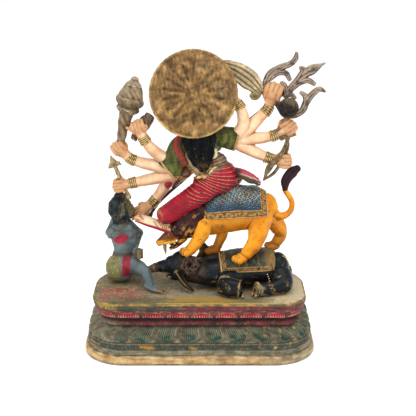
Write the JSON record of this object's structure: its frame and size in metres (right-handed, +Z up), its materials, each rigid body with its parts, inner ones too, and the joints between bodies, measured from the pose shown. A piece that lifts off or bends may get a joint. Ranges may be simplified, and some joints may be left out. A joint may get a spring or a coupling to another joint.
{
  "type": "durga figure",
  "caption": "Painted brass figure group: a many-armed goddess riding a lion over a fallen elephant beside a kneeling demon, on an oblong double-lotus plinth.",
  "frame": {"origin": "centre of the plinth's flat underside", "axes": "+Z up; the back of the group faces -Y, and the demon's side is -X"},
  "size_m": [0.3984, 0.196, 0.5022],
  "materials": {
    "plinth_paint": "worn green-grey paint over brass",
    "elephant_paint": "worn black paint over brass",
    "lion_paint": "orange-yellow paint, worn at the edges",
    "demon_paint": "worn blue-grey paint over brass",
    "skin_paint": "cream to buff paint with an antique wash",
    "red_paint": "red paint with gilt fold lines",
    "gilt_brass": "hammered brass with dark patina",
    "aged_brass": "brown aged brass"
  },
  "bodies": {
    "root": {"plinth": "plinth_paint", "elephant": "elephant_paint", "lion": "lion_paint", "demon": "demon_paint", "goddess": "skin_paint", "halo": "gilt_brass", "trident": "aged_brass", "fan_blade": "gilt_brass", "mace": "aged_brass", "arrow": "gilt_brass", "conch": "aged_brass", "bow": "aged_brass", "lotus_bud": "aged_brass"}
  },
  "joints": []
}
